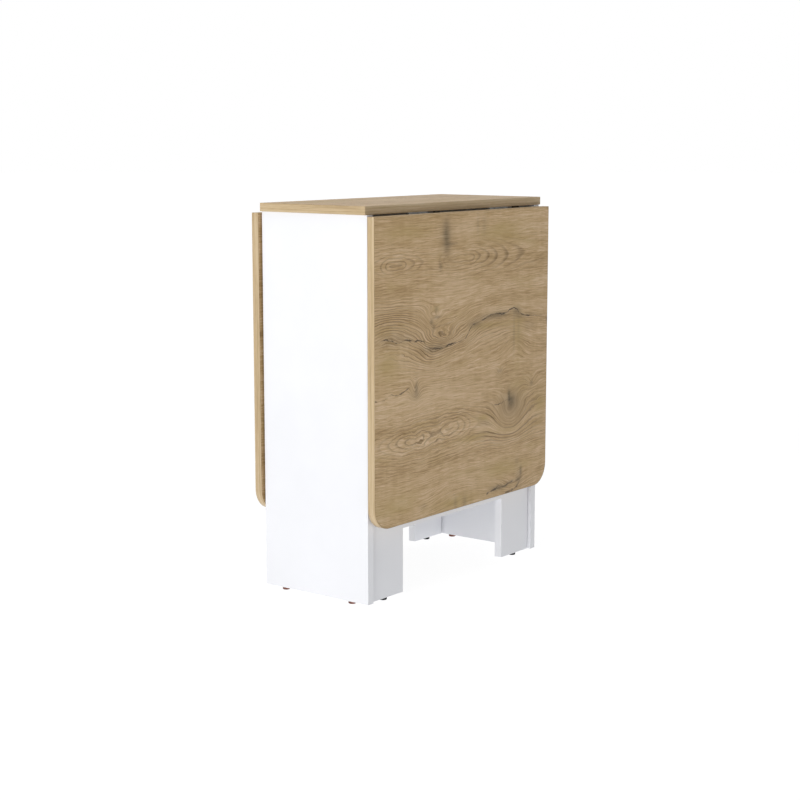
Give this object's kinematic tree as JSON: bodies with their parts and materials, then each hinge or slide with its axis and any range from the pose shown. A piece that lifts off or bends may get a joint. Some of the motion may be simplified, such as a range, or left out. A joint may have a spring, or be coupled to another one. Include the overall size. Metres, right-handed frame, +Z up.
{
  "type": "gateleg table",
  "caption": "Folded drop-leaf gateleg table: narrow oak-laminate top on white end panels, hinged hanging leaves with rounded corners, and white board gates behind them.",
  "frame": {"origin": "on the floor, at the centre of the folded table's footprint", "axes": "+Z up; X along the length of the top and the leaves' hinge lines; Y across the table, with the front leaf at -Y and the back leaf at +Y"},
  "size_m": [0.58, 0.298, 0.75],
  "materials": {
    "oak_laminate": "satin",
    "oak_edging": "satin",
    "white_laminate": "satin",
    "steel_hinge": "zinc plated",
    "zinc_fittings": "zinc plated",
    "dark_plastic": "matte",
    "beech_dowel": "raw"
  },
  "bodies": {
    "frame": {"back_gate_hinge_pins": "steel_hinge", "back_gate_lower_hinge_panel_plate": "steel_hinge", "back_gate_upper_hinge_panel_plate": "steel_hinge", "back_leaf_hinge_pins": "steel_hinge", "back_leaf_left_hinge_top_plate": "steel_hinge", "back_leaf_right_hinge_top_plate": "steel_hinge", "end_panel_glides": "dark_plastic", "frame_cam_bolts": "zinc_fittings", "frame_cam_locks": "zinc_fittings", "frame_dowels": "beech_dowel", "front_gate_hinge_pins": "steel_hinge", "front_gate_lower_hinge_panel_plate": "steel_hinge", "front_gate_upper_hinge_panel_plate": "steel_hinge", "front_leaf_hinge_pins": "steel_hinge", "front_leaf_left_hinge_top_plate": "steel_hinge", "front_leaf_right_hinge_top_plate": "steel_hinge", "gate_stops": "dark_plastic", "left_end_panel": "white_laminate", "panel_hinge_screws": "zinc_fittings", "right_end_panel": "white_laminate", "spine_panel": "white_laminate", "top_bracket_screws": "zinc_fittings", "top_brackets": "steel_hinge", "top_edge_band": "oak_edging", "top_hinge_screws": "zinc_fittings", "top_panel": "oak_laminate"},
    "front_leaf": {"front_leaf_edge_band": "oak_edging", "front_leaf_hinge_screws": "zinc_fittings", "front_leaf_left_hinge_leaf_plate": "steel_hinge", "front_leaf_panel": "oak_laminate", "front_leaf_right_hinge_leaf_plate": "steel_hinge"},
    "back_leaf": {"back_leaf_edge_band": "oak_edging", "back_leaf_hinge_screws": "zinc_fittings", "back_leaf_left_hinge_leaf_plate": "steel_hinge", "back_leaf_panel": "oak_laminate", "back_leaf_right_hinge_leaf_plate": "steel_hinge"},
    "front_gate": {"front_gate_bottom_rail": "white_laminate", "front_gate_cam_bolts": "zinc_fittings", "front_gate_cam_locks": "zinc_fittings", "front_gate_dowels": "beech_dowel", "front_gate_free_stile": "white_laminate", "front_gate_glides": "dark_plastic", "front_gate_hinge_screws": "zinc_fittings", "front_gate_hinge_stile": "white_laminate", "front_gate_leaf_rest": "dark_plastic", "front_gate_lower_hinge_gate_plate": "steel_hinge", "front_gate_top_rail": "white_laminate", "front_gate_upper_hinge_gate_plate": "steel_hinge"},
    "back_gate": {"back_gate_bottom_rail": "white_laminate", "back_gate_cam_bolts": "zinc_fittings", "back_gate_cam_locks": "zinc_fittings", "back_gate_dowels": "beech_dowel", "back_gate_free_stile": "white_laminate", "back_gate_glides": "dark_plastic", "back_gate_hinge_screws": "zinc_fittings", "back_gate_hinge_stile": "white_laminate", "back_gate_leaf_rest": "dark_plastic", "back_gate_lower_hinge_gate_plate": "steel_hinge", "back_gate_top_rail": "white_laminate", "back_gate_upper_hinge_gate_plate": "steel_hinge"}
  },
  "joints": [
    {"name": "front_leaf_lift", "type": "hinge", "parent": "frame", "child": "front_leaf", "pos_m": [0, -0.13, 0.731], "axis": [-1, 0, 0], "range_deg": [0, 90]},
    {"name": "back_leaf_lift", "type": "hinge", "parent": "frame", "child": "back_leaf", "pos_m": [0, 0.13, 0.731], "axis": [1, 0, 0], "range_deg": [0, 90]},
    {"name": "front_gate_swing", "type": "hinge", "parent": "frame", "child": "front_gate", "pos_m": [-0.265, -0.124, 0.43], "axis": [0, 0, -1], "range_deg": [0, 1]},
    {"name": "back_gate_swing", "type": "hinge", "parent": "frame", "child": "back_gate", "pos_m": [0.265, 0.124, 0.43], "axis": [0, 0, -1], "range_deg": [0, 1]}
  ]
}
